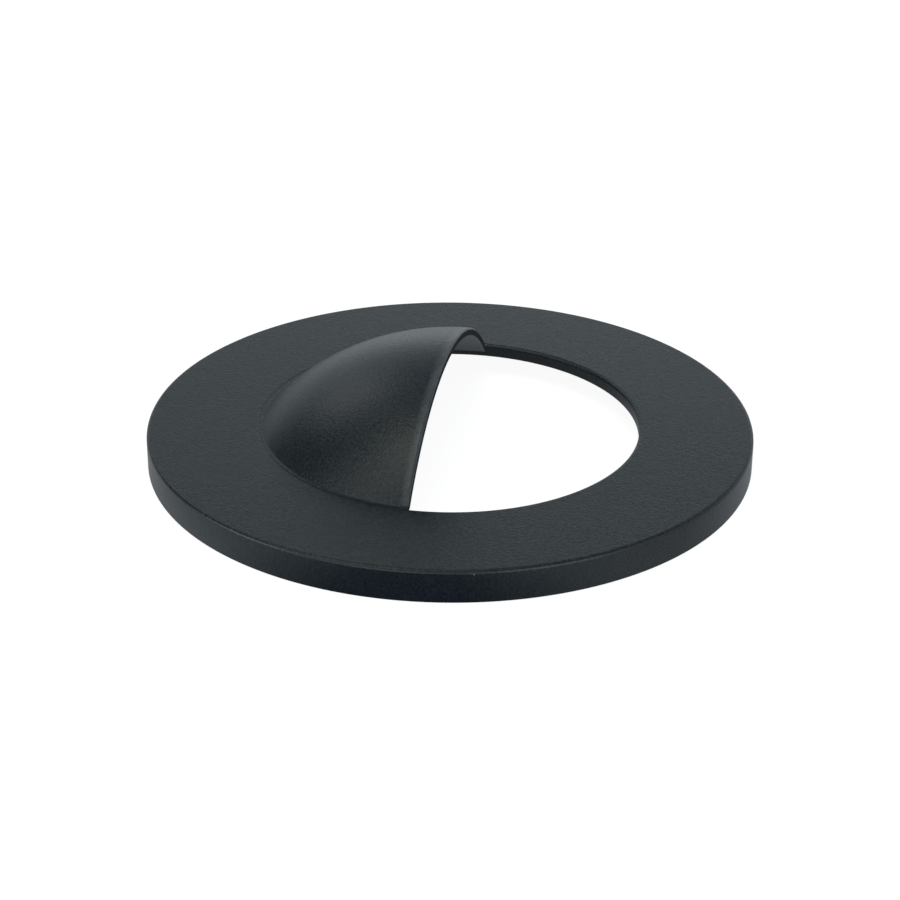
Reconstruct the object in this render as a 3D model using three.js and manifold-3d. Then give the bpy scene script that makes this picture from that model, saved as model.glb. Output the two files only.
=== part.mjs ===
// Eyelid trim for a round recessed light: a flat trim ring with a short skirt, and a half-dome hood
// that covers the back half of the ring's opening and lets the light out at the front.
// Millimetres, +Z up out of the face, +X out of the hood's mouth. The origin is the centre of the
// plane that the skirt's rim rests on.
import * as THREE from 'three';
import { mergeVertices } from 'three/addons/utils/BufferGeometryUtils.js';
import Module from 'manifold-3d';

const wasm = await Module();
wasm.setup();

// Trim ring
const OUTER_DIAMETER = 100;
const RING_HEIGHT = 5.4;
const OPENING_DIAMETER = 62.5;
const FACE_THICKNESS = 1.6;
const SKIRT_WALL = 1.6;
const LIP_DEPTH = 2.2;            // from the face down to the lip's lower edge
const LIP_WALL = 1.5;
const OUTER_EDGE_RADIUS = 0.6;
const OPENING_EDGE_RADIUS = 0.65;

// Eyelid hood
const HOOD_HEIGHT = 13;           // top of the dome above the face
const HOOD_WALL = 1.3;
const HOOD_FOOT_DEPTH = 0.65;      // how far the hood's collar reaches below the face
const TAB_THICKNESS = 1.2;
const TAB_WIDTH = 6;
const TAB_SPREAD = 64;            // degrees from the back tab to each side tab

// Hood screws, M2 pan heads
const THREAD_DIAMETER = 2;
const SCREW_LENGTH = 2.5;
const SCREW_HEAD_DIAMETER = 3.8;
const SCREW_HEAD_HEIGHT = 1.2;
const RECESS_WIDTH = 0.5;
const RECESS_LENGTH = 2;
const RECESS_DEPTH = 0.6;
const BOSS_WALL = 1;

// Holding magnets
const MAGNET_DIAMETER = 8;
const MAGNET_THICKNESS = 2;
const CUP_WALL = 0.8;
const CUP_DEPTH = 1.6;

// Clearances
const FIT_GAP = 0.3;              // round surfaces that fit in each other
const SEAT_GAP = 0.05;            // flat surfaces that rest on each other
const JOIN = 0.5;                 // how far one feature of a casting runs into the next
const BEYOND = 1;                 // how far a cutter runs past what it cuts

// Smoothness
const ROUND_SEGMENTS = 96;
const SMALL_SEGMENTS = 28;
const DOME_STEPS = 10;
const EDGE_STEPS = 4;

// Ring levels and radii
const outerRadius = OUTER_DIAMETER / 2;
const openingRadius = OPENING_DIAMETER / 2;
const faceZ = RING_HEIGHT;
const underFaceZ = faceZ - FACE_THICKNESS;
const lipZ = faceZ - LIP_DEPTH;
const lipOuterRadius = openingRadius + LIP_WALL;
const skirtInnerRadius = outerRadius - SKIRT_WALL;

// Hood levels and radii: the dome is part of a sphere through the collar's top and the dome's top
const collarRadius = openingRadius - FIT_GAP;
const domeRadius = (collarRadius ** 2 + HOOD_HEIGHT ** 2) / (2 * HOOD_HEIGHT);
const domeCentreZ = faceZ + HOOD_HEIGHT - domeRadius;
const domeInnerRadius = domeRadius - HOOD_WALL;
const footZ = faceZ - HOOD_FOOT_DEPTH;
const tabTopZ = lipZ - SEAT_GAP;
const tabUndersideZ = tabTopZ - TAB_THICKNESS;

// Screws: their bosses stand outside the lip and run into it
const screwHoleRadius = THREAD_DIAMETER / 2 + FIT_GAP;
const bossRadius = screwHoleRadius + BOSS_WALL;
const screwCircleRadius = lipOuterRadius + bossRadius - JOIN;
const headTopZ = tabUndersideZ - SEAT_GAP;
const screwTipZ = headTopZ + SCREW_LENGTH;

// Magnets: midway between the lip and the skirt, and midway between the hood's tabs
const magnetCircleRadius = (lipOuterRadius + skirtInnerRadius) / 2;
const pocketRadius = MAGNET_DIAMETER / 2 + FIT_GAP;
const magnetTopZ = underFaceZ - SEAT_GAP;
const magnetAngle = TAB_SPREAD / 2;

// Degrees round the ring from the middle of the mouth
const SCREW_PLACES = {
  hood_screw_back: 180,
  hood_screw_left: 180 - TAB_SPREAD,
  hood_screw_right: 180 + TAB_SPREAD,
};

const MAGNET_PLACES = {
  magnet_front_left: magnetAngle,
  magnet_back_left: 180 - magnetAngle,
  magnet_back_right: 180 + magnetAngle,
  magnet_front_right: 360 - magnetAngle,
};

// A closed geometry becomes a solid: shared corners are merged, and the empty triangles at poles dropped.
function solidOf(geometry) {
  const bare = geometry.clone();
  bare.deleteAttribute('normal');
  bare.deleteAttribute('uv');
  const merged = mergeVertices(bare);
  const corners = Array.from(merged.index.array);
  const kept = [];
  for (let i = 0; i < corners.length; i += 3) {
    const [a, b, c] = corners.slice(i, i + 3);
    if (a !== b && b !== c && c !== a) kept.push(a, b, c);
  }
  const vertProperties = new Float32Array(merged.attributes.position.array);
  return new wasm.Manifold(new wasm.Mesh({ numProp: 3, vertProperties, triVerts: new Uint32Array(kept) }));
}

// A solid goes back to a geometry that a mesh can show.
function geometryOf(solid) {
  const { vertProperties, triVerts } = solid.getMesh();
  const geometry = new THREE.BufferGeometry();
  geometry.setAttribute('position', new THREE.BufferAttribute(vertProperties, 3));
  geometry.setIndex(new THREE.BufferAttribute(triVerts, 1));
  geometry.computeVertexNormals();
  return geometry;
}

// A profile of (radius, height) points turned about the Z axis.
function turned(profile, segments = ROUND_SEGMENTS) {
  const geometry = new THREE.LatheGeometry(profile, segments);
  geometry.rotateX(Math.PI / 2);
  return solidOf(geometry);
}

// Points along an arc of a profile, both ends included; angles in degrees from the radius axis.
function arc(centreRadius, centreZ, radius, fromAngle, toAngle, steps) {
  const points = [];
  for (let i = 0; i <= steps; i += 1) {
    const angle = THREE.MathUtils.degToRad(THREE.MathUtils.lerp(fromAngle, toAngle, i / steps));
    points.push(at(centreRadius + radius * Math.cos(angle), centreZ + radius * Math.sin(angle)));
  }
  return points;
}

function at(radius, z) {
  return new THREE.Vector2(radius, z);
}

// A round bar along Z between two levels, its centre at a radius and an angle from the mouth.
function bar(radius, lowZ, highZ, circleRadius = 0, angle = 0) {
  const geometry = new THREE.CylinderGeometry(radius, radius, highZ - lowZ, SMALL_SEGMENTS);
  geometry.rotateX(Math.PI / 2);
  geometry.translate(circleRadius, 0, (lowZ + highZ) / 2);
  geometry.rotateZ(THREE.MathUtils.degToRad(angle));
  return solidOf(geometry);
}

// The ring's plain section: rim, rounded outer edge, face, rounded opening edge, lip, skirt.
function ringSection() {
  const outerRound = Math.min(OUTER_EDGE_RADIUS, FACE_THICKNESS);
  const innerRound = Math.min(OPENING_EDGE_RADIUS, LIP_DEPTH, LIP_WALL);
  return [
    at(outerRadius, 0),
    ...arc(outerRadius - outerRound, faceZ - outerRound, outerRound, 0, 90, EDGE_STEPS),
    ...arc(openingRadius + innerRound, faceZ - innerRound, innerRound, 90, 180, EDGE_STEPS),
    at(openingRadius, lipZ),
    at(lipOuterRadius, lipZ),
    at(lipOuterRadius, underFaceZ),
    at(skirtInnerRadius, underFaceZ),
    at(skirtInnerRadius, 0),
    at(outerRadius, 0),
  ];
}

// The trim ring, with a blind boss for each hood screw and a cup for each magnet under its face.
function trimRing() {
  let ring = turned(ringSection());
  for (const angle of Object.values(SCREW_PLACES)) {
    ring = ring.add(bar(bossRadius, lipZ, underFaceZ + JOIN, screwCircleRadius, angle));
  }
  const cupRimZ = underFaceZ - CUP_DEPTH;
  for (const angle of Object.values(MAGNET_PLACES)) {
    const cup = bar(pocketRadius + CUP_WALL, cupRimZ, underFaceZ + JOIN, magnetCircleRadius, angle);
    const pocket = bar(pocketRadius, -BEYOND, underFaceZ, magnetCircleRadius, angle);
    ring = ring.add(cup).subtract(pocket);
  }
  for (const angle of Object.values(SCREW_PLACES)) {
    const pilotHole = bar(screwHoleRadius, lipZ - BEYOND, screwTipZ + FIT_GAP, screwCircleRadius, angle);
    ring = ring.subtract(pilotHole);
  }
  return ring;
}

// The dome's shell turned all the way round: inner sphere, collar and outer sphere.
function wholeDome() {
  const innerFootAngle = THREE.MathUtils.radToDeg(Math.asin((footZ - domeCentreZ) / domeInnerRadius));
  const outerFootAngle = THREE.MathUtils.radToDeg(Math.asin((faceZ - domeCentreZ) / domeRadius));
  const profile = [
    at(collarRadius, footZ),
    ...arc(0, domeCentreZ, domeRadius, outerFootAngle, 90, DOME_STEPS),
    ...arc(0, domeCentreZ, domeInnerRadius, 90, innerFootAngle, DOME_STEPS),
    at(collarRadius, footZ),
  ];
  return turned(profile);
}

// A fixing tab goes down inside the opening and turns out under the ring, to a round end at its screw.
function hoodTab(angle) {
  const legInnerRadius = collarRadius - TAB_THICKNESS;
  const tabEndRadius = screwCircleRadius + TAB_WIDTH / 2;
  const section = [
    at(legInnerRadius, tabUndersideZ),
    at(tabEndRadius + BEYOND, tabUndersideZ),
    at(tabEndRadius + BEYOND, tabTopZ),
    at(collarRadius, tabTopZ),
    at(collarRadius, footZ + JOIN),
    at(legInnerRadius, footZ + JOIN),
    at(legInnerRadius, tabUndersideZ),
  ];
  const outline = new THREE.Shape();
  outline.moveTo(0, -TAB_WIDTH / 2);
  outline.lineTo(screwCircleRadius, -TAB_WIDTH / 2);
  outline.absarc(screwCircleRadius, 0, TAB_WIDTH / 2, -Math.PI / 2, Math.PI / 2, false);
  outline.lineTo(0, TAB_WIDTH / 2);
  outline.closePath();
  const prism = new THREE.ExtrudeGeometry(outline, {
    depth: faceZ,
    bevelEnabled: false,
    curveSegments: SMALL_SEGMENTS / 2,
  });
  prism.rotateZ(THREE.MathUtils.degToRad(angle));
  const screwHole = bar(screwHoleRadius, -BEYOND, tabTopZ + BEYOND, screwCircleRadius, angle);
  return turned(section).intersect(solidOf(prism)).subtract(screwHole);
}

// The hood: the back half of the dome, cut straight down at its mouth, with its three fixing tabs.
function eyelidHood() {
  const cutSize = 2 * (collarRadius + HOOD_HEIGHT + BEYOND);
  const frontHalf = new THREE.BoxGeometry(cutSize, cutSize, cutSize);
  frontHalf.translate(cutSize / 2, 0, faceZ);
  let hood = wholeDome().subtract(solidOf(frontHalf));
  for (const angle of Object.values(SCREW_PLACES)) {
    hood = hood.add(hoodTab(angle));
  }
  return hood;
}

// A pan-head screw with a cross recess, standing head down at the origin of its own frame.
function hoodScrew() {
  const head = [
    at(0, -SCREW_HEAD_HEIGHT),
    at(SCREW_HEAD_DIAMETER * 0.36, -SCREW_HEAD_HEIGHT),
    at(SCREW_HEAD_DIAMETER * 0.46, -SCREW_HEAD_HEIGHT * 0.75),
    at(SCREW_HEAD_DIAMETER / 2, -SCREW_HEAD_HEIGHT * 0.35),
    at(SCREW_HEAD_DIAMETER / 2, 0),
    at(THREAD_DIAMETER / 2, 0),
    at(THREAD_DIAMETER / 2, SCREW_LENGTH),
    at(0, SCREW_LENGTH),
  ];
  let screw = turned(head, SMALL_SEGMENTS);
  for (const angle of [0, Math.PI / 2]) {
    const slot = new THREE.BoxGeometry(RECESS_LENGTH, RECESS_WIDTH, 2 * RECESS_DEPTH);
    slot.rotateZ(angle);
    slot.translate(0, 0, -SCREW_HEAD_HEIGHT);
    screw = screw.subtract(solidOf(slot));
  }
  return screw;
}

// A disc magnet, lying on its lower face at the origin of its own frame.
function discMagnet() {
  return bar(MAGNET_DIAMETER / 2, 0, MAGNET_THICKNESS);
}

const blackCoat = { color: 0x17191b, roughness: 0.55, metalness: 0.1 };
const stainlessSteel = { color: 0xb9bcbf, roughness: 0.32, metalness: 1 };
const nickelPlate = { color: 0xc9c7c2, roughness: 0.22, metalness: 1 };

function piece(name, solid, finish) {
  const mesh = new THREE.Mesh(geometryOf(solid), new THREE.MeshStandardMaterial(finish));
  mesh.name = name;
  return mesh;
}

// Places a piece on a circle about the opening, at an angle from the mouth.
function onCircle(mesh, circleRadius, angle, z) {
  const turn = THREE.MathUtils.degToRad(angle);
  mesh.position.set(circleRadius * Math.cos(turn), circleRadius * Math.sin(turn), z);
  mesh.rotation.z = turn;
  return mesh;
}

const eyelidTrim = new THREE.Group();
eyelidTrim.add(piece('trim_ring', trimRing(), blackCoat));
eyelidTrim.add(piece('eyelid_hood', eyelidHood(), blackCoat));
for (const [name, angle] of Object.entries(SCREW_PLACES)) {
  eyelidTrim.add(onCircle(piece(name, hoodScrew(), stainlessSteel), screwCircleRadius, angle, headTopZ));
}
for (const [name, angle] of Object.entries(MAGNET_PLACES)) {
  const magnetZ = magnetTopZ - MAGNET_THICKNESS;
  eyelidTrim.add(onCircle(piece(name, discMagnet(), nickelPlate), magnetCircleRadius, angle, magnetZ));
}

export default eyelidTrim;
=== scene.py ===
import math

import bmesh
import bpy
from mathutils import Matrix, Vector


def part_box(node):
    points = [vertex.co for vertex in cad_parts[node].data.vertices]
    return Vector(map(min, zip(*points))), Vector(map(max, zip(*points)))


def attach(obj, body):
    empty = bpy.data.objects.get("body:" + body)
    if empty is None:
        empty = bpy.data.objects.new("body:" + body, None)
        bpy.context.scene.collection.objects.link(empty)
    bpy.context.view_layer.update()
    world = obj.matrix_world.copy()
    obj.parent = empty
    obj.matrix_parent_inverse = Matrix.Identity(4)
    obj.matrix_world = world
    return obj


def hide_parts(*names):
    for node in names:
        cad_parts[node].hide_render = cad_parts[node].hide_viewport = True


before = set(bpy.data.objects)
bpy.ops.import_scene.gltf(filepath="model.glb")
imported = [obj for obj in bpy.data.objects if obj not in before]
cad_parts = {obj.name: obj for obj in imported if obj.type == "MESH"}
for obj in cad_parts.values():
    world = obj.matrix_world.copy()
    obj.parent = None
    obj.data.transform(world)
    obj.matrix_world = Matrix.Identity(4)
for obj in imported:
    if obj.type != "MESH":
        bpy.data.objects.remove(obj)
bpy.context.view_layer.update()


# ---------------------------------------------------------------------------------------------
# Camera
# The trim lies face up on the rim of its skirt. A long lens looks at it from 27 degrees up, a
# little from the side that the hood opens to, and the picture is tipped by a third of a degree.
# ---------------------------------------------------------------------------------------------
CAMERA_LENS = 93.46
CAMERA_SENSOR = 36.0
CAMERA_DISTANCE = 0.38966
CAMERA_SIDEWAYS = math.radians(11.84)
CAMERA_ELEVATION = math.radians(26.932)
CAMERA_TIP = math.radians(0.368)

camera = bpy.data.objects.new("camera", bpy.data.cameras.new("camera"))
bpy.context.scene.collection.objects.link(camera)
bpy.context.scene.camera = camera
camera.data.lens = CAMERA_LENS
camera.data.sensor_width = CAMERA_SENSOR
toward_camera = Vector((
    math.sin(CAMERA_SIDEWAYS) * math.cos(CAMERA_ELEVATION),
    -math.cos(CAMERA_SIDEWAYS) * math.cos(CAMERA_ELEVATION),
    math.sin(CAMERA_ELEVATION),
))
camera.matrix_world = (
    Matrix.Translation(toward_camera * CAMERA_DISTANCE)
    @ toward_camera.to_track_quat("Z", "Y").to_matrix().to_4x4()
    @ Matrix.Rotation(CAMERA_TIP, 4, "Z")
)


# ---------------------------------------------------------------------------------------------
# Trim ring
# A die-cast aluminium ring: a flat face with a rolled outer edge and a short skirt, and a round
# opening with a softly rounded edge and a turned-down lip. Under the face it carries three screw
# bosses and four magnet cups, and it is powder coated satin black all over.
# ---------------------------------------------------------------------------------------------
MM = 0.001
ring_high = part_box("trim_ring")[1]
RING_RADIUS = ring_high.x
RING_HEIGHT = ring_high.z
FACE_THICKNESS = 1.6 * MM
SKIRT_WALL = 1.6 * MM
OPENING_RADIUS = 31.25 * MM
LIP_WALL = 1.5 * MM
LIP_DEPTH = 2.2 * MM
OUTER_ROUNDING = 0.6 * MM
OPENING_ROUNDING = 0.65 * MM
RIM_ROUNDING = 0.2 * MM
CASTING_FILLET = 0.3 * MM
EDGE_BAND = 0.12 * MM
RING_STEPS = 288
ROUNDING_STEPS = 7
SEAM_MERGE = 0.0001 * MM
SLIVER = 0.0002 * MM
CREASE = math.radians(30)


def add(tree, kind, feeds=(), **settings):
    """A node in tree. Each of its sockets is fed by another node's output or holds a plain value."""
    made = tree.nodes.new(kind)
    for setting, value in settings.items():
        setattr(made, setting, value)
    for socket, value in dict(feeds).items():
        if isinstance(value, bpy.types.NodeSocket):
            tree.links.new(value, made.inputs[socket])
        else:
            made.inputs[socket].default_value = value
    return made.outputs


def new_tree(name, sizes):
    """A geometry tree with a named input for each size, its inputs, and a call that ends it."""
    tree = bpy.data.node_groups.new(name, "GeometryNodeTree")
    geometry = "NodeSocketGeometry"
    tree.interface.new_socket("Geometry", in_out="OUTPUT", socket_type=geometry)
    tree.interface.new_socket("Geometry", in_out="INPUT", socket_type=geometry)
    for size, kind in sizes.items():
        tree.interface.new_socket(size, in_out="INPUT", socket_type="NodeSocket" + kind)
    tree.interface.new_socket("Finish", in_out="INPUT", socket_type="NodeSocketMaterial")
    given = add(tree, "NodeGroupInput")

    def end(geometry):
        real = add(tree, "GeometryNodeRealizeInstances", {"Geometry": geometry})["Geometry"]
        finish = {"Geometry": real, "Material": given["Finish"]}
        finished = add(tree, "GeometryNodeSetMaterial", finish)["Geometry"]
        add(tree, "NodeGroupOutput", {"Geometry": finished})

    return tree, given, end


def turned_tree():
    """Turns an outline about Z: its X is the distance from the axis, and its Z is the height."""
    sizes = {"Path Radius": "Float", "Steps Round": "Int", "Steps In Rounding": "Int"}
    tree, given, end = new_tree("turned_outline", sizes)
    here = add(tree, "GeometryNodeInputPosition")["Position"]
    outline = add(tree, "ShaderNodeSeparateXYZ", {"Vector": here})
    beside = {0: outline["X"], 1: given["Path Radius"]}
    beside = add(tree, "ShaderNodeMath", beside, operation="SUBTRACT")["Value"]
    down = add(tree, "ShaderNodeMath", {0: 0.0, 1: outline["Z"]}, operation="SUBTRACT")["Value"]
    section = add(tree, "ShaderNodeCombineXYZ", {"X": beside, "Y": down})["Vector"]
    laid = {"Geometry": given["Geometry"], "Position": section}
    laid = add(tree, "GeometryNodeSetPosition", laid)["Geometry"]
    sharp = add(tree, "GeometryNodeMeshToCurve", {"Mesh": laid})["Curve"]
    rounding = {"Name": "rounding"}
    rounding = add(tree, "GeometryNodeInputNamedAttribute", rounding, data_type="FLOAT")["Attribute"]
    rounded = {"Curve": sharp, "Count": given["Steps In Rounding"], "Radius": rounding}
    rounded = add(tree, "GeometryNodeFilletCurve", rounded, mode="POLY")["Curve"]
    path = {"Resolution": given["Steps Round"], "Radius": given["Path Radius"]}
    path = add(tree, "GeometryNodeCurvePrimitiveCircle", path)["Curve"]
    swept = add(tree, "GeometryNodeCurveToMesh", {"Curve": path, "Profile Curve": rounded})["Mesh"]
    closed = {"Geometry": swept, "Distance": SEAM_MERGE}
    end(add(tree, "GeometryNodeMergeByDistance", closed)["Geometry"])
    return tree


def outward(piece):
    """The piece with every face turned outwards."""
    shape = bmesh.new()
    shape.from_mesh(piece.data)
    bmesh.ops.recalc_face_normals(shape, faces=shape.faces)
    shape.to_mesh(piece.data)
    shape.free()
    return piece


def worked_in(piece):
    """The piece with its modifiers worked into its mesh."""
    seen = piece.evaluated_get(bpy.context.evaluated_depsgraph_get())
    mesh = bpy.data.meshes.new_from_object(seen)
    piece.modifiers.clear()
    piece.data = mesh
    return piece


def grown(name, start, tree, sizes):
    """The plain mesh that a geometry tree makes of a starting mesh at these sizes."""
    piece = bpy.data.objects.new(name, start)
    bpy.context.scene.collection.objects.link(piece)
    modifier = piece.modifiers.new("grown", "NODES")
    modifier.node_group = tree
    for socket in tree.interface.items_tree:
        if socket.in_out == "INPUT" and socket.name in sizes:
            modifier[socket.identifier] = sizes[socket.name]
    return outward(worked_in(piece))


def proud_corners(corners):
    """1 for each rounded corner that stands out of the section, and 0 for the others."""
    turns = []
    for i, (radius, height, rounding) in enumerate(corners):
        before = corners[i - 1]
        after = corners[(i + 1) % len(corners)]
        came = (radius - before[0], height - before[1])
        goes = (after[0] - radius, after[1] - height)
        turns.append(came[0] * goes[1] - came[1] * goes[0])
    way = 1 if sum(turn > 0 for turn in turns) > len(turns) / 2 else -1
    return [float(way * turn > 0 and corner[2] > 0) for turn, corner in zip(turns, corners)]


def outline_of(corners):
    """Corners as (distance from the axis, height, rounding), closed unless they end on the axis."""
    mesh = bpy.data.meshes.new("outline")
    lines = [(i, i + 1) for i in range(len(corners) - 1)]
    if corners[0][0] > 0:
        lines.append((len(corners) - 1, 0))
    mesh.from_pydata([(radius, 0, height) for radius, height, rounding in corners], lines, [])
    roundings = mesh.attributes.new("rounding", "FLOAT", "POINT")
    roundings.data.foreach_set("value", [rounding for radius, height, rounding in corners])
    proud = mesh.attributes.new("proud_edge", "FLOAT", "POINT")
    proud.data.foreach_set("value", proud_corners(corners))
    return mesh


TURNED = turned_tree()


def turned(name, corners, steps, finish):
    """A closed solid turned about Z from an outline of corners."""
    sizes = {
        "Path Radius": max(radius for radius, height, rounding in corners),
        "Steps Round": steps,
        "Steps In Rounding": ROUNDING_STEPS,
        "Finish": finish,
    }
    return grown(name, outline_of(corners), TURNED, sizes)


def cut_or_joined(piece, operation, tools):
    """The piece after a boolean with each tool, which is used up."""
    for tool in tools:
        modifier = piece.modifiers.new(operation, "BOOLEAN")
        modifier.operation = operation
        modifier.solver = "MANIFOLD"
        modifier.object = tool
    worked_in(piece)
    for tool in tools:
        bpy.data.objects.remove(tool)
    return piece


def moved(piece, place, turn=0.0):
    """The piece with its mesh turned about Z and carried to a place."""
    piece.data.transform(Matrix.Translation(place) @ Matrix.Rotation(turn, 4, "Z"))
    return piece


def smooth_shaded(piece):
    """The piece shaded smooth, with a hard line where faces meet at more than the crease angle.
    The slivers that booleans leave are closed up first."""
    shape = bmesh.new()
    shape.from_mesh(piece.data)
    bmesh.ops.remove_doubles(shape, verts=shape.verts, dist=SLIVER)
    shape.to_mesh(piece.data)
    shape.free()
    piece.data.shade_smooth()
    piece.data.set_sharp_from_angle(angle=CREASE)
    return piece


def mask_group(name, sizes, masks):
    """A shader group with a named input for each size and a named output for each mask."""
    tree = bpy.data.node_groups.new(name, "ShaderNodeTree")
    for size, usual in sizes.items():
        socket = tree.interface.new_socket(size, in_out="INPUT", socket_type="NodeSocketFloat")
        socket.default_value = usual
    for mask in masks:
        tree.interface.new_socket(mask, in_out="OUTPUT", socket_type="NodeSocketFloat")
    return tree, add(tree, "NodeGroupInput"), add(tree, "ShaderNodeTexCoord")["Object"]


def noise_of_size(tree, place, size, detail):
    """Soft noise from 0 to 1 whose lumps are about size metres across."""
    scale = add(tree, "ShaderNodeMath", {0: 1.0, 1: size}, operation="DIVIDE")["Value"]
    noise = {"Vector": place, "Scale": scale, "Detail": detail, "Roughness": 0.6}
    return add(tree, "ShaderNodeTexNoise", noise)["Fac"]


def mixed_value(tree, first, second, share):
    """A value that goes from first to second with share."""
    feeds = {"Factor": share, "A": first, "B": second}
    return add(tree, "ShaderNodeMix", feeds, data_type="FLOAT")["Result"]


def mixed_colour(tree, first, second, share):
    """A colour that goes from first to second with share. The node has sockets of the same name for
    values, vectors and colours, so these are given by number."""
    feeds = {0: share, 6: first, 7: second}
    return add(tree, "ShaderNodeMix", feeds, data_type="RGBA")[2]


def between(tree, value, start, end):
    """0 where the value is at start and 1 where it is at end, in a straight line between them."""
    feeds = {"Value": value, "From Min": start, "From Max": end}
    return add(tree, "ShaderNodeMapRange", feeds)["Result"]


# Fine grain keeps the middle of its noise, and makes up this share of the coat's relief.
GRAIN_FROM = 0.3
GRAIN_TO = 0.7
GRAIN_SHARE = 0.65


def coat_grain_group():
    """The skin of a baked powder coat: fine pimples on broad orange peel, and a faint cloudiness."""
    sizes = {"Grain Size": 0.0004, "Peel Size": 0.0018, "Cloud Size": 0.018}
    tree, given, place = mask_group("coat_grain", sizes, ("Relief", "Clouds", "Grain"))
    grain = noise_of_size(tree, place, given["Grain Size"], detail=2.0)
    grain = between(tree, grain, GRAIN_FROM, GRAIN_TO)
    peel = noise_of_size(tree, place, given["Peel Size"], detail=1.0)
    clouds = noise_of_size(tree, place, given["Cloud Size"], detail=3.0)
    relief = mixed_value(tree, peel, grain, GRAIN_SHARE)
    add(tree, "NodeGroupOutput", {"Relief": relief, "Clouds": clouds, "Grain": grain})
    return tree


def dust_group():
    """A few specks of dust, each a dot somewhere in its own cell, in some of the cells only."""
    sizes = {"Spacing": 0.006, "Speck Size": 0.00018, "Kept": 0.4}
    tree, given, place = mask_group("settled_dust", sizes, ("Specks",))
    scale = add(tree, "ShaderNodeMath", {0: 1.0, 1: given["Spacing"]}, operation="DIVIDE")["Value"]
    cells = add(tree, "ShaderNodeTexVoronoi", {"Vector": place, "Scale": scale})
    speck = {0: given["Speck Size"], 1: given["Spacing"]}
    speck = add(tree, "ShaderNodeMath", speck, operation="DIVIDE")["Value"]
    inside = {0: cells["Distance"], 1: speck}
    inside = add(tree, "ShaderNodeMath", inside, operation="LESS_THAN")["Value"]
    chance = add(tree, "ShaderNodeSeparateXYZ", {"Vector": cells["Color"]})["X"]
    kept = {0: chance, 1: given["Kept"]}
    kept = add(tree, "ShaderNodeMath", kept, operation="LESS_THAN")["Value"]
    specks = add(tree, "ShaderNodeMath", {0: inside, 1: kept}, operation="MULTIPLY")["Value"]
    add(tree, "NodeGroupOutput", {"Specks": specks})
    return tree


def edge_wear_and_highlight_group():
    """How much outer edges are lightened, from 0 on flats to 1, in patches: partly wear of the coat on
    the edges, partly a painted highlight along the edge roundings.
    """
    tree, given, place = mask_group("edge_wear_and_painted_highlight", {"Patch Size": 0.004}, ("Wear And Highlight",))
    outer = add(tree, "ShaderNodeAttribute", attribute_name="proud_edge")["Fac"]
    patches = noise_of_size(tree, place, given["Patch Size"], detail=3.0)
    wear_and_highlight = add(tree, "ShaderNodeMath", {0: outer, 1: patches}, operation="MULTIPLY")["Value"]
    add(tree, "NodeGroupOutput", {"Wear And Highlight": wear_and_highlight})
    return tree


COAT_GRAIN = coat_grain_group()
SETTLED_DUST = dust_group()
EDGE_WEAR_AND_HIGHLIGHT = edge_wear_and_highlight_group()


def group_in(tree, group, **sizes):
    """A shader group placed in a material with its own sizes."""
    placed = tree.nodes.new("ShaderNodeGroup")
    placed.node_tree = group
    for size, value in sizes.items():
        placed.inputs[size.replace("_", " ")].default_value = value
    return placed.outputs


# Lighter coat on proud edges: partly wear, partly a painted highlight on the edge roundings.
WORN_COAT_AND_EDGE_HIGHLIGHT = (0.06, 0.066, 0.068, 1)
DUST = (0.13, 0.13, 0.125, 1)
# A colour darker than the coat for the hood's mouth end face: painted shade.
END_FACE_PAINTED_SHADE = (0.003, 0.0035, 0.004, 1)
END_FACE_ROUGHNESS = 1.0
COAT_IOR = 1.5


def satin_coat(name, dark, light, roughest, smoothest, relief, painted_shade_end=None):
    """Satin powder coat: a near-black that varies between two shades, with grain, dust, and lighter
    proud edges that are partly wear and partly a painted highlight.
    Between the two places along X given for the end, it turns fully rough and its colour darkens to a
    painted shade."""
    material = bpy.data.materials.new(name)
    material.use_nodes = True
    tree = material.node_tree
    tree.nodes.clear()
    skin = group_in(tree, COAT_GRAIN)
    dust = group_in(tree, SETTLED_DUST)["Specks"]
    wear_and_highlight = group_in(tree, EDGE_WEAR_AND_HIGHLIGHT)["Wear And Highlight"]
    colour = mixed_colour(tree, (*dark, 1), (*light, 1), skin["Grain"])
    # Proud edges lighten in patches: partly wear, partly a painted highlight.
    colour = mixed_colour(tree, colour, WORN_COAT_AND_EDGE_HIGHLIGHT, wear_and_highlight)
    colour = mixed_colour(tree, colour, DUST, dust)
    rough = {"Value": skin["Clouds"], "To Min": smoothest, "To Max": roughest}
    rough = add(tree, "ShaderNodeMapRange", rough)["Result"]
    # Across the mouth's end face the coat turns fully rough, and its colour is darkened as painted
    # shade.
    if painted_shade_end:
        place = add(tree, "ShaderNodeTexCoord")["Object"]
        along = add(tree, "ShaderNodeSeparateXYZ", {"Vector": place})["X"]
        end_shade = between(tree, along, *painted_shade_end)
        rough = mixed_value(tree, rough, END_FACE_ROUGHNESS, end_shade)
        colour = mixed_colour(tree, colour, END_FACE_PAINTED_SHADE, end_shade)
    bump = {"Height": skin["Relief"], "Strength": 1.0, "Distance": relief}
    bump = add(tree, "ShaderNodeBump", bump)["Normal"]
    coat = {"Base Color": colour, "Roughness": rough, "Normal": bump, "IOR": COAT_IOR}
    coat = add(tree, "ShaderNodeBsdfPrincipled", coat)["BSDF"]
    add(tree, "ShaderNodeOutputMaterial", {"Surface": coat})
    return material


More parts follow.
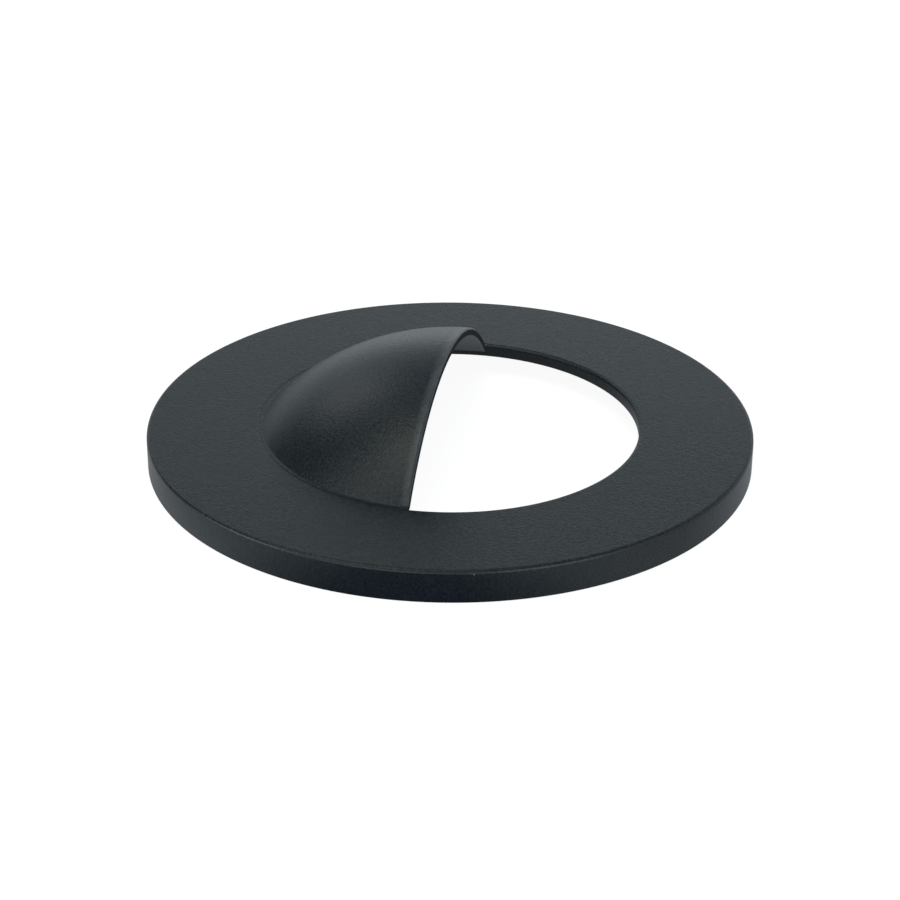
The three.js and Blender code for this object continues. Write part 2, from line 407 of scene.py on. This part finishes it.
ring_coat = satin_coat(
    "ring_satin_black", dark=(0.003, 0.004, 0.0044), light=(0.015, 0.018, 0.019),
    roughest=0.31, smoothest=0.24, relief=0.035 * MM,
)
under_face = RING_HEIGHT - FACE_THICKNESS
lip_foot = RING_HEIGHT - LIP_DEPTH
face_start = OPENING_RADIUS + OPENING_ROUNDING + EDGE_BAND
face_end = RING_RADIUS - OUTER_ROUNDING - EDGE_BAND
trim_ring = turned("coated_trim_ring", [
    (RING_RADIUS, 0, RIM_ROUNDING),
    (RING_RADIUS, RING_HEIGHT, OUTER_ROUNDING),
    (face_end, RING_HEIGHT, 0),
    (face_start, RING_HEIGHT, 0),
    (OPENING_RADIUS, RING_HEIGHT, OPENING_ROUNDING),
    (OPENING_RADIUS, lip_foot, RIM_ROUNDING),
    (OPENING_RADIUS + LIP_WALL, lip_foot, RIM_ROUNDING),
    (OPENING_RADIUS + LIP_WALL, under_face, CASTING_FILLET),
    (OPENING_RADIUS + LIP_WALL + CASTING_FILLET + EDGE_BAND, under_face, 0),
    (RING_RADIUS - SKIRT_WALL - CASTING_FILLET - EDGE_BAND, under_face, 0),
    (RING_RADIUS - SKIRT_WALL, under_face, CASTING_FILLET),
    (RING_RADIUS - SKIRT_WALL, 0, RIM_ROUNDING),
], RING_STEPS, ring_coat)

# The magnet cups are upright collars round the places of the four magnets, cast with the ring.
MAGNET_NODES = ("magnet_front_left", "magnet_back_left", "magnet_back_right", "magnet_front_right")
CUP_GAP = 0.3 * MM
CUP_WALL = 0.8 * MM
CUP_DEPTH = 1.6 * MM
SINK = 0.03 * MM
SMALL_STEPS = 64


def collar(name, inner, outer, foot):
    """A round collar standing under the face, with a fillet where it grows out of the casting.
    With an inner radius of 0 it is a solid post."""
    root = under_face + SINK
    return turned(name, [
        (inner, foot, RIM_ROUNDING),
        (outer, foot, RIM_ROUNDING),
        (outer, root, CASTING_FILLET),
        (outer + 2 * CASTING_FILLET, root, 0),
        (outer + 2 * CASTING_FILLET, under_face + CASTING_FILLET, 0),
        (inner, under_face + CASTING_FILLET, 0),
    ], SMALL_STEPS, ring_coat)


def middle(node):
    """The middle of a CAD node's box, with its height left out."""
    low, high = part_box(node)
    return Vector(((low.x + high.x) / 2, (low.y + high.y) / 2, 0))


magnet_low, magnet_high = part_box(MAGNET_NODES[0])
magnet_radius = (magnet_high.x - magnet_low.x) / 2
pocket = magnet_radius + CUP_GAP
cups = [
    moved(collar("cup", pocket, pocket + CUP_WALL, under_face - CUP_DEPTH), middle(node))
    for node in MAGNET_NODES
]

# The screw bosses are solid posts against the lip, and then each is drilled with a blind pilot hole.
SCREW_NODES = ("hood_screw_back", "hood_screw_left", "hood_screw_right")
THREAD_RADIUS = 1.0 * MM
BOSS_WALL = 1.0 * MM
PILOT_GAP = 0.3 * MM
PILOT_ROOF = 0.7 * MM
pilot = THREAD_RADIUS + PILOT_GAP
bosses = [
    moved(collar("boss", 0, pilot + BOSS_WALL, lip_foot), middle(node)) for node in SCREW_NODES
]
pilot_top = RING_HEIGHT - PILOT_ROOF
pilot_outline = [
    (0, 0, 0), (pilot, 0, 0), (pilot, pilot_top - THREAD_RADIUS / 2, 0), (0, pilot_top, 0),
]
pilot_holes = [
    moved(turned("pilot_hole", pilot_outline, SMALL_STEPS, ring_coat), middle(node))
    for node in SCREW_NODES
]
cut_or_joined(trim_ring, "UNION", cups + bosses)
cut_or_joined(trim_ring, "DIFFERENCE", pilot_holes)
smooth_shaded(trim_ring)
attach(trim_ring, "root")
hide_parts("trim_ring")


# ---------------------------------------------------------------------------------------------
# Eyelid hood
# Half of a shallow spherical dome, die cast with an even wall and open to one side. It is pushed
# up through the opening, so that the dome grows straight out of it, and three flat tabs on legs
# reach out under the lip to the screw bosses. It has the same satin black coat.
# ---------------------------------------------------------------------------------------------
hood_low, hood_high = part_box("eyelid_hood")
HOOD_WALL = 1.3 * MM
HOOD_SEAT = 31.2 * MM
COLLAR_RADIUS = 30.95 * MM
HOOD_FOOT_DEPTH = 0.65 * MM
MOUTH_ROUNDING = 0.48 * MM
MOUTH_INNER_ROUNDING = 0.15 * MM
TAB_THICKNESS = 1.2 * MM
TAB_WIDTH = 6.0 * MM
TAB_BEND = 0.5 * MM
LEG_OVERLAP = 0.5 * MM
DOME_STEPS = 80

# The hood's coat darkens across the mouth's end face: painted shade, together with full roughness.
hood_coat = satin_coat(
    "hood_satin_black", dark=(0.003, 0.004, 0.0044), light=(0.015, 0.018, 0.019),
    roughest=0.31, smoothest=0.24, relief=0.035 * MM, painted_shade_end=(-0.05 * MM, -0.01 * MM),
)
# The dome is the cap of a sphere that passes through the collar's edge at the face and the apex.
cap_rise = hood_high.z - RING_HEIGHT
sphere_radius = (COLLAR_RADIUS ** 2 + cap_rise ** 2) / (2 * cap_rise)
sphere_middle = hood_high.z - sphere_radius


def quarter(radius, first, last):
    """Points of a quarter circle from the axis (0) to the mouth (1), between two shares of it."""
    shares = [first + (last - first) * i / DOME_STEPS for i in range(DOME_STEPS + 1)]
    angles = [share * math.pi / 2 for share in shares]
    return [(radius * math.sin(a), radius * math.cos(a), 0) for a in angles]


def dome_shell():
    """Half a hollow sphere with its pole at the back and a softly rounded edge round the mouth.
    The last point before the mouth is left out, so that the rounding has room."""
    inner_radius = sphere_radius - HOOD_WALL
    outer = quarter(sphere_radius, 0, 1)[:-2] + [(sphere_radius, 0, MOUTH_ROUNDING)]
    inner = [(inner_radius, 0, MOUTH_INNER_ROUNDING)] + quarter(inner_radius, 1, 0)[1:]
    shell = turned("dome", outer + inner, RING_STEPS, hood_coat)
    shell.data.transform(Matrix.Rotation(math.radians(-90), 4, "Y"))
    return moved(shell, Vector((0, 0, sphere_middle)))


foot = RING_HEIGHT - HOOD_FOOT_DEPTH
above = hood_high.z + HOOD_WALL
eyelid_hood = dome_shell()
# The coat has run into the seam round the dome's foot, and leaves only a hairline to the ring.
SEAM_GAP = 0.03 * MM
SEAM_SINK = 0.02 * MM
SEAM_STEPS = 8
edge_middle = (OPENING_RADIUS + OPENING_ROUNDING, RING_HEIGHT - OPENING_ROUNDING)
reach = OPENING_ROUNDING + SEAM_GAP
last = math.asin((RING_HEIGHT - SEAM_SINK - edge_middle[1]) / reach)
swing = [last * i / SEAM_STEPS for i in range(SEAM_STEPS + 1)]
seam = [
    (edge_middle[0] - reach * math.cos(a), edge_middle[1] + reach * math.sin(a), 0) for a in swing
]
seam_fill = turned("seam_fill", [
    (COLLAR_RADIUS - HOOD_WALL / 2, foot, 0),
    (OPENING_RADIUS - SEAM_GAP, foot, 0),
    *seam,
    (COLLAR_RADIUS, RING_HEIGHT - SEAM_SINK, 0),
    (COLLAR_RADIUS - HOOD_WALL / 2, RING_HEIGHT - SEAM_SINK, 0),
], RING_STEPS, hood_coat)
behind_mouth = turned("half", [
    (0, -2 * RING_RADIUS, 0),
    (2 * RING_RADIUS, -2 * RING_RADIUS, 0),
    (2 * RING_RADIUS, 0, 0),
    (0, 0, 0),
], SMALL_STEPS, hood_coat)
behind_mouth.data.transform(Matrix.Rotation(math.radians(90), 4, "Y"))
seat = turned("seat", [
    (0, foot, 0), (HOOD_SEAT, foot, 0), (HOOD_SEAT, above, 0), (0, above, 0),
], RING_STEPS, hood_coat)
cut_or_joined(seam_fill, "INTERSECT", [behind_mouth])
cut_or_joined(eyelid_hood, "INTERSECT", [seat])
cut_or_joined(eyelid_hood, "UNION", [seam_fill])

# Each tab is a flat foot under the lip and a leg up to the collar, cut from one turned L section.
tab_end = -hood_low.x
tab_foot = hood_low.z
leg_inner = COLLAR_RADIUS - TAB_THICKNESS
leg_top = foot + LEG_OVERLAP
screw_circle = middle("hood_screw_back").length


def tab_blank():
    """A flat bar with one round end, tall enough to cut a tab out of the turned L section."""
    half = TAB_WIDTH / 2
    turns = [math.pi / 2 - math.pi * i / SMALL_STEPS for i in range(SMALL_STEPS + 1)]
    end = tab_end - half
    outline = [(end + half * math.cos(t), half * math.sin(t)) for t in turns]
    outline += [(leg_inner - half, -half), (leg_inner - half, half)]
    shape = bmesh.new()
    face = shape.faces.new([shape.verts.new((x, y, 0)) for x, y in outline])
    raised = bmesh.ops.extrude_face_region(shape, geom=[face])["geom"]
    up = [part for part in raised if isinstance(part, bmesh.types.BMVert)]
    bmesh.ops.translate(shape, verts=up, vec=(0, 0, leg_top + HOOD_WALL))
    mesh = bpy.data.meshes.new("tab")
    shape.to_mesh(mesh)
    shape.free()
    mesh.materials.append(hood_coat)
    blank = bpy.data.objects.new("tab", mesh)
    bpy.context.scene.collection.objects.link(blank)
    return outward(blank)


def hood_tab(node):
    """One tab, turned to the place of its screw, with a clear hole for the thread."""
    tab = turned("bracket", [
        (leg_inner, tab_foot, TAB_BEND + TAB_THICKNESS / 2),
        (tab_end + HOOD_WALL, tab_foot, 0),
        (tab_end + HOOD_WALL, tab_foot + TAB_THICKNESS, 0),
        (COLLAR_RADIUS, tab_foot + TAB_THICKNESS, TAB_BEND),
        (COLLAR_RADIUS, leg_top, 0),
        (leg_inner, leg_top, 0),
    ], RING_STEPS, hood_coat)
    hole = turned("hole", [
        (0, 0, 0), (pilot, 0, 0), (pilot, leg_top, 0), (0, leg_top, 0),
    ], SMALL_STEPS, hood_coat)
    cut_or_joined(tab, "INTERSECT", [tab_blank()])
    cut_or_joined(tab, "DIFFERENCE", [moved(hole, Vector((screw_circle, 0, 0)))])
    place = middle(node)
    return moved(tab, Vector((0, 0, 0)), math.atan2(place.y, place.x))


eyelid_hood.name = "coated_eyelid_hood"
cut_or_joined(eyelid_hood, "UNION", [hood_tab(node) for node in SCREW_NODES])
smooth_shaded(eyelid_hood)
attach(eyelid_hood, "root")
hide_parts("eyelid_hood")


# ---------------------------------------------------------------------------------------------
# Hood screws
# Three M2 pan head screws with a cross recess, cold headed and thread rolled in stainless steel.
# Each is driven up through a tab into its boss from behind the ring.
# ---------------------------------------------------------------------------------------------
HEAD_ROUNDING = 0.35 * MM
HEAD_CROWN = 0.1 * MM
HEAD_FOOT_ROUNDING = 0.08 * MM
THREAD_PITCH = 0.4 * MM
THREAD_DEPTH = 0.24 * MM
THREAD_STEPS = 24
RIDGE_CORNERS = 4
RECESS_LENGTH = 2.0 * MM
RECESS_WIDTH = 0.5 * MM
RECESS_DEPTH = 0.6 * MM
HEAD_HEIGHT = 1.2 * MM
RUBBED_PATCH = 0.0012
# Each lay of scratches: its turn, and how much it is drawn out along its hairs.
HAIR_LAYS = ((0.4, 0.04), (1.9, 0.06))


def scratches_group():
    """Hair-fine scratches and rubbing on bare metal: stretched noise laid two ways."""
    tree, given, place = mask_group("hair_scratches", {"Hair Width": 0.00004}, ("Hairs", "Rubbed"))
    hairs = []
    for turn, draw in HAIR_LAYS:
        laid = {"Vector": place, "Rotation": (0, 0, turn), "Scale": (1, draw, 1)}
        laid = add(tree, "ShaderNodeMapping", laid)["Vector"]
        hairs.append(noise_of_size(tree, laid, given["Hair Width"], detail=2.0))
    both = add(tree, "ShaderNodeMath", {0: hairs[0], 1: hairs[1]}, operation="MULTIPLY")["Value"]
    rubbed = noise_of_size(tree, place, RUBBED_PATCH, detail=3.0)
    add(tree, "NodeGroupOutput", {"Hairs": both, "Rubbed": rubbed})
    return tree


HAIR_SCRATCHES = scratches_group()


def bare_metal(name, bright, dull, smoothest, roughest, relief):
    """Bare or plated metal between a bright and a dull shade, with scratches and rubbed patches."""
    material = bpy.data.materials.new(name)
    material.use_nodes = True
    tree = material.node_tree
    tree.nodes.clear()
    marks = group_in(tree, HAIR_SCRATCHES)
    colour = mixed_colour(tree, (*bright, 1), (*dull, 1), marks["Rubbed"])
    rough = {"Value": marks["Rubbed"], "To Min": smoothest, "To Max": roughest}
    rough = add(tree, "ShaderNodeMapRange", rough)["Result"]
    bump = {"Height": marks["Hairs"], "Strength": 1.0, "Distance": relief}
    bump = add(tree, "ShaderNodeBump", bump)["Normal"]
    metal = {"Base Color": colour, "Metallic": 1.0, "Roughness": rough, "Normal": bump}
    metal = add(tree, "ShaderNodeBsdfPrincipled", metal)["BSDF"]
    add(tree, "ShaderNodeOutputMaterial", {"Surface": metal})
    return material


def screw_tree():
    """Winds a thread on a turned screw and sinks a cross recess into its head, which is at Z 0."""
    sizes = (
        "Core Radius", "Thread Radius", "Pitch", "Thread Length",
        "Thread Start", "Recess Length", "Recess Width", "Recess Depth",
    )
    tree, given, end = new_tree("pan_head_screw", dict.fromkeys(sizes, "Float"))
    turns = {0: given["Thread Length"], 1: given["Pitch"]}
    turns = add(tree, "ShaderNodeMath", turns, operation="DIVIDE")["Value"]
    helix = {
        "Resolution": THREAD_STEPS, "Rotations": turns, "Start Radius": given["Core Radius"],
        "End Radius": given["Core Radius"], "Height": given["Thread Length"],
    }
    helix = add(tree, "GeometryNodeCurveSpiral", helix)["Curve"]
    helix = add(tree, "GeometryNodeSetCurveNormal", {"Curve": helix}, mode="Z_UP")["Curve"]
    rise = {0: given["Thread Radius"], 1: given["Core Radius"]}
    rise = add(tree, "ShaderNodeMath", rise, operation="SUBTRACT")["Value"]
    ridge = {"Resolution": RIDGE_CORNERS, "Radius": rise}
    ridge = add(tree, "GeometryNodeCurvePrimitiveCircle", ridge)["Curve"]
    thread = {"Curve": helix, "Profile Curve": ridge, "Fill Caps": True}
    thread = add(tree, "GeometryNodeCurveToMesh", thread)["Mesh"]
    lifted = add(tree, "ShaderNodeCombineXYZ", {"Z": given["Thread Start"]})["Vector"]
    thread = {"Geometry": thread, "Translation": lifted}
    thread = add(tree, "GeometryNodeTransform", thread)["Geometry"]
    both = tree.nodes.new("GeometryNodeMeshBoolean")
    both.operation = "UNION"
    both.solver = "MANIFOLD"
    tree.links.new(given["Geometry"], both.inputs["Mesh 2"])
    tree.links.new(thread, both.inputs["Mesh 2"])
    deep = {0: given["Recess Depth"], 1: 2.0}
    deep = add(tree, "ShaderNodeMath", deep, operation="MULTIPLY")["Value"]
    cut = tree.nodes.new("GeometryNodeMeshBoolean")
    cut.operation = "DIFFERENCE"
    cut.solver = "MANIFOLD"
    tree.links.new(both.outputs["Mesh"], cut.inputs["Mesh 1"])
    for x, y in (("Recess Length", "Recess Width"), ("Recess Width", "Recess Length")):
        size = add(tree, "ShaderNodeCombineXYZ", {"X": given[x], "Y": given[y], "Z": deep})["Vector"]
        slot = add(tree, "GeometryNodeMeshCube", {"Size": size})["Mesh"]
        tree.links.new(slot, cut.inputs["Mesh 2"])
    end(cut.outputs["Mesh"])
    return tree


screw_steel = bare_metal(
    "screw_stainless_steel", bright=(0.62, 0.61, 0.59), dull=(0.42, 0.41, 0.4),
    smoothest=0.24, roughest=0.42, relief=0.004 * MM,
)
SCREW_TREE = screw_tree()
for node in SCREW_NODES:
    screw_low, screw_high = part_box(node)
    head_radius = (screw_high.x - screw_low.x) / 2
    length = screw_high.z - screw_low.z
    core = THREAD_RADIUS - THREAD_DEPTH
    body = turned(node + "_body", [
        (0, 0, 0),
        (head_radius - HEAD_ROUNDING, 0, 0),
        (head_radius, HEAD_CROWN, HEAD_ROUNDING),
        (head_radius, HEAD_HEIGHT, HEAD_FOOT_ROUNDING),
        (core, HEAD_HEIGHT, 0),
        (core, length - core / 2, 0),
        (core / 2, length, 0),
        (0, length, 0),
    ], SMALL_STEPS, screw_steel)
    screw = grown("steel_" + node, body.data, SCREW_TREE, {
        "Core Radius": core,
        "Thread Radius": THREAD_RADIUS,
        "Pitch": THREAD_PITCH,
        "Thread Start": HEAD_HEIGHT,
        "Thread Length": length - HEAD_HEIGHT - core / 2,
        "Recess Length": RECESS_LENGTH,
        "Recess Width": RECESS_WIDTH,
        "Recess Depth": RECESS_DEPTH,
        "Finish": screw_steel,
    })
    bpy.data.objects.remove(body)
    moved(screw, middle(node) + Vector((0, 0, screw_low.z)))
    smooth_shaded(screw)
    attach(screw, "root")
    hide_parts(node)


# ---------------------------------------------------------------------------------------------
# Magnets
# Four sintered neodymium discs, tumbled so that their edges are rounded and then nickel plated.
# Each is glued in a cup under the face and holds the trim on the steel flange of its light.
# ---------------------------------------------------------------------------------------------
MAGNET_ROUNDING = 0.25 * MM

magnet_nickel = bare_metal(
    "magnet_nickel", bright=(0.74, 0.7, 0.64), dull=(0.6, 0.56, 0.5),
    smoothest=0.12, roughest=0.26, relief=0.002 * MM,
)
for node in MAGNET_NODES:
    low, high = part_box(node)
    magnet = turned("nickel_" + node, [
        (0, low.z, 0),
        (magnet_radius, low.z, MAGNET_ROUNDING),
        (magnet_radius, high.z, MAGNET_ROUNDING),
        (0, high.z, 0),
    ], SMALL_STEPS, magnet_nickel)
    moved(magnet, middle(node))
    smooth_shaded(magnet)
    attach(magnet, "root")
    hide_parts(node)


# ---------------------------------------------------------------------------------------------
# Floor and light
# A light table under white paper, in a studio with a pale wall and a dimmer upper room. A black
# part shows its shape by what it mirrors: the wall, soft panels round the room, the table, and a
# dark card on the near side. One soft light above falls on the paper.
# ---------------------------------------------------------------------------------------------
FLOOR_REACH = 6.0
PAPER = 0.96
WHITE = 1.04
TABLE_SHARE = 0.9
TABLE_GLOW = (0.4, 0.43, 0.45, 1)
SHADED_GLOW = (0.27, 0.3, 0.32, 1)
SIDE_GLOW = (0.5, 0.57, 0.62, 1)
CARD_GLOW = (0.08, 0.12, 0.19, 1)
CARD_MIDDLE = 0.004
CARD_CORE = 0.2
CARD_HALF_WIDTH = 0.036
CARD_EDGE = -0.034
CARD_BLUR = 0.01
SHADE_BLUR = 0.003
FAR_WALL = (0.385, 0.435, 0.465, 1)
NEAR_WALL = (0.56, 0.66, 0.74, 1)
UPPER_ROOM = (0.17, 0.22, 0.26, 1)
NEAR_END = -0.3
FAR_START = 0.6
WALL_TOP = 25
ROOM_START = 39
# Each panel's turn from straight back, rise, and radius of its full patch and of its soft rim, all
# in degrees, and its colour.
PANELS = (
    (-4, -8, 16, 30, (0.8, 0.86, 0.92, 1)),
    (-76, 30, 16, 33, (0.03, 0.06, 0.08, 1)),
    (-114, 16, 8, 20, (2.4, 2.6, 2.7, 1)),
    (-168, 18, 10, 26, (1.2, 1.3, 1.36, 1)),
    (132, 18, 12, 28, (1.7, 1.85, 1.95, 1)),
    (-48, 38, 4, 16, (0.86, 0.92, 0.97, 1)),
    (-128, 52, 8, 26, (0.68, 0.76, 0.78, 1)),
    (-105, 77, 5, 17, (1.3, 1.34, 1.18, 1)),
)
KEY_SIZE = 1.6
KEY_PLACE = Vector((-0.1, 0.1, 1.5))
KEY_POWER = 20.0


def smooth_step(tree, value, start, end):
    """0 below start and 1 above end, with a soft change between them."""
    feeds = {"Value": value, "From Min": start, "From Max": end}
    return add(tree, "ShaderNodeMapRange", feeds, interpolation_type="SMOOTHSTEP")["Result"]


def paper_floor():
    """A light table under white paper. What the part mirrors of it is dimmer than what is seen
    straight, dimmer still in the ring's own shade, and on the near side it is a dark card."""
    material = bpy.data.materials.new("studio_paper")
    material.use_nodes = True
    tree = material.node_tree
    tree.nodes.clear()
    place = add(tree, "ShaderNodeTexCoord")["Object"]
    from_middle = add(tree, "ShaderNodeVectorMath", {0: place}, operation="LENGTH")["Value"]
    place = add(tree, "ShaderNodeSeparateXYZ", {"Vector": place})
    across = add(tree, "ShaderNodeMath", {0: place["X"], 1: CARD_MIDDLE}, operation="SUBTRACT")["Value"]
    across = add(tree, "ShaderNodeMath", {0: across}, operation="ABSOLUTE")["Value"]
    beside = smooth_step(tree, across, CARD_CORE * CARD_HALF_WIDTH, CARD_HALF_WIDTH)
    near = mixed_colour(tree, CARD_GLOW, SIDE_GLOW, beside)
    far = smooth_step(tree, place["Y"], CARD_EDGE - CARD_BLUR, CARD_EDGE + CARD_BLUR)
    shade = (RING_RADIUS - SHADE_BLUR, RING_RADIUS + SHADE_BLUR)
    clear_of_ring = smooth_step(tree, from_middle, *shade)
    table = mixed_colour(tree, SHADED_GLOW, TABLE_GLOW, clear_of_ring)
    mirrored = mixed_colour(tree, near, table, far)
    glow = add(tree, "ShaderNodeEmission", {"Color": mirrored})["Emission"]
    lit = add(tree, "ShaderNodeEmission", {"Color": (WHITE, WHITE, WHITE, 1)})["Emission"]
    paper = add(tree, "ShaderNodeBsdfDiffuse", {"Color": (PAPER, PAPER, PAPER, 1)})["BSDF"]
    seen = add(tree, "ShaderNodeMixShader", {"Fac": TABLE_SHARE, 1: paper, 2: lit})["Shader"]
    eye = add(tree, "ShaderNodeLightPath")["Is Camera Ray"]
    top = add(tree, "ShaderNodeMixShader", {"Fac": eye, 1: glow, 2: seen})["Shader"]
    clear = add(tree, "ShaderNodeBsdfTransparent")["BSDF"]
    below = add(tree, "ShaderNodeNewGeometry")["Backfacing"]
    sheet = add(tree, "ShaderNodeMixShader", {"Fac": below, 1: top, 2: clear})["Shader"]
    add(tree, "ShaderNodeOutputMaterial", {"Surface": sheet})
    return material


floor_mesh = bpy.data.meshes.new("floor")
floor_corners = [
    (x * FLOOR_REACH, y * FLOOR_REACH, 0) for x, y in ((-1, -1), (1, -1), (1, 1), (-1, 1))
]
floor_mesh.from_pydata(floor_corners, [], [(0, 1, 2, 3)])
floor_mesh.materials.append(paper_floor())
floor = bpy.data.objects.new("floor", floor_mesh)
bpy.context.scene.collection.objects.link(floor)

world = bpy.data.worlds.new("studio")
bpy.context.scene.world = world
world.use_nodes = True
tree = world.node_tree
tree.nodes.clear()
toward = add(tree, "ShaderNodeTexCoord")["Generated"]
direction = add(tree, "ShaderNodeSeparateXYZ", {"Vector": toward})
behind = smooth_step(tree, direction["Y"], NEAR_END, FAR_START)
wall_top, room_start = math.sin(math.radians(WALL_TOP)), math.sin(math.radians(ROOM_START))
above_wall = smooth_step(tree, direction["Z"], wall_top, room_start)
sky = mixed_colour(tree, NEAR_WALL, FAR_WALL, behind)
sky = mixed_colour(tree, sky, UPPER_ROOM, above_wall)
for turn, rise, core, rim, colour in PANELS:
    turn, rise = math.radians(turn), math.radians(rise)
    aim = (math.sin(turn) * math.cos(rise), math.cos(turn) * math.cos(rise), math.sin(rise))
    rim, core = math.cos(math.radians(rim)), math.cos(math.radians(core))
    near = add(tree, "ShaderNodeVectorMath", {0: toward, 1: aim}, operation="DOT_PRODUCT")["Value"]
    lit = smooth_step(tree, near, rim, core)
    sky = mixed_colour(tree, sky, colour, lit)
eye = add(tree, "ShaderNodeLightPath")["Is Camera Ray"]
sky = mixed_colour(tree, sky, (WHITE, WHITE, WHITE, 1), eye)
background = add(tree, "ShaderNodeBackground", {"Color": sky, "Strength": 1.0})["Background"]
add(tree, "ShaderNodeOutputWorld", {"Surface": background})

key = bpy.data.objects.new("key_softbox", bpy.data.lights.new("key_softbox", "AREA"))
bpy.context.scene.collection.objects.link(key)
key.data.shape = "DISK"
key.data.size = KEY_SIZE
key.data.energy = KEY_POWER
key.visible_glossy = False
key_turn = KEY_PLACE.to_track_quat("Z", "Y").to_matrix().to_4x4()
key.matrix_world = Matrix.Translation(KEY_PLACE) @ key_turn

bpy.context.scene.view_settings.view_transform = "Standard"
